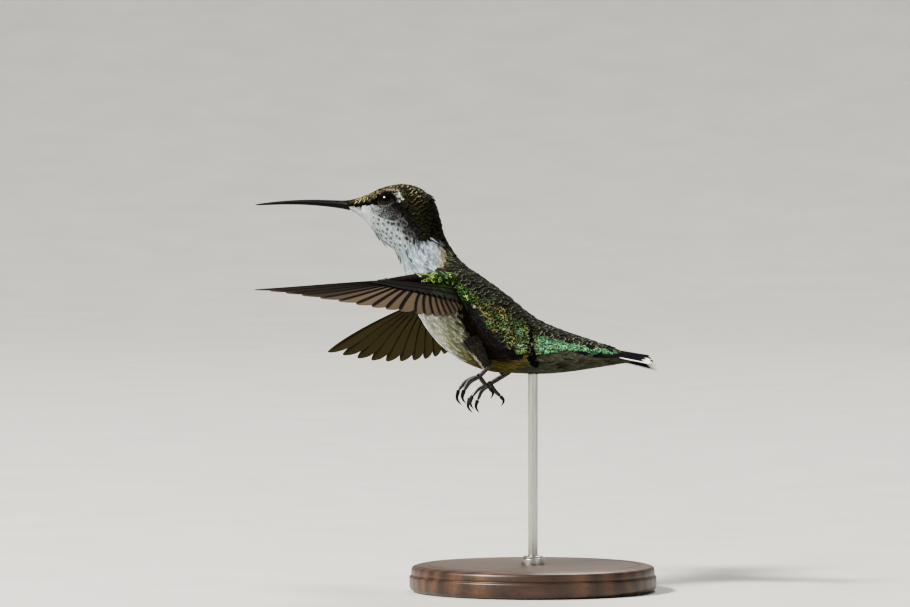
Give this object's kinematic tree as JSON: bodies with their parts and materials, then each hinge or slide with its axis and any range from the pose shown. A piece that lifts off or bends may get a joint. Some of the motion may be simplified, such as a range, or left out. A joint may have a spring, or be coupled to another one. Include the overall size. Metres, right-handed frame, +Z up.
{
  "type": "ruby-throated hummingbird",
  "caption": "Life-size hovering hummingbird with a green back, white throat, spread wings and hanging feet, on a round base with a thin rod.",
  "frame": {"origin": "middle of the stand base's underside, on the surface that it stands on", "axes": "+Z up; the bird looks along -X with its head turned 10 degrees towards +Y, its right side is towards +Y, and it is banked 10 degrees with its left side up"},
  "size_m": [0.075, 0.0842, 0.0756],
  "materials": {
    "plumage_green": "small overlapping feathers with a green metallic gloss",
    "plumage_white": "soft, loose greyish-white feathers with dusky spots",
    "wing_feathers": "thin, stiff brown feather webs on darker shafts",
    "tail_feathers": "stiff feathers, green, then blue-black, with white outer tips",
    "bill_horn": "black horn with a low gloss",
    "eye_globe": "wet, very dark brown and black",
    "foot_skin": "dark, scaled skin",
    "claw_horn": "black horn, ridged lightly",
    "stand_wood": "dark hardwood, turned and oiled",
    "stand_steel": "drawn rod with a satin polish"
  },
  "bodies": {
    "root": {"head": "plumage_green", "neck": "plumage_white", "trunk": "plumage_green", "tail_coverts": "plumage_green", "tail": "tail_feathers", "bill_upper": "bill_horn", "bill_lower": "bill_horn", "eye_left": "eye_globe", "wing_left_arm": "plumage_green", "wing_left_primaries": "wing_feathers", "wing_left_secondaries": "wing_feathers", "leg_left_thigh": "plumage_white", "leg_left_foot": "foot_skin", "claw_left_inner": "claw_horn", "claw_left_middle": "claw_horn", "claw_left_outer": "claw_horn", "claw_left_hind": "claw_horn", "eye_right": "eye_globe", "wing_right_arm": "plumage_green", "wing_right_primaries": "wing_feathers", "wing_right_secondaries": "wing_feathers", "leg_right_thigh": "plumage_white", "leg_right_foot": "foot_skin", "claw_right_inner": "claw_horn", "claw_right_middle": "claw_horn", "claw_right_outer": "claw_horn", "claw_right_hind": "claw_horn", "stand_base": "stand_wood", "stand_rod": "stand_steel", "stand_collar": "stand_steel"}
  },
  "joints": []
}
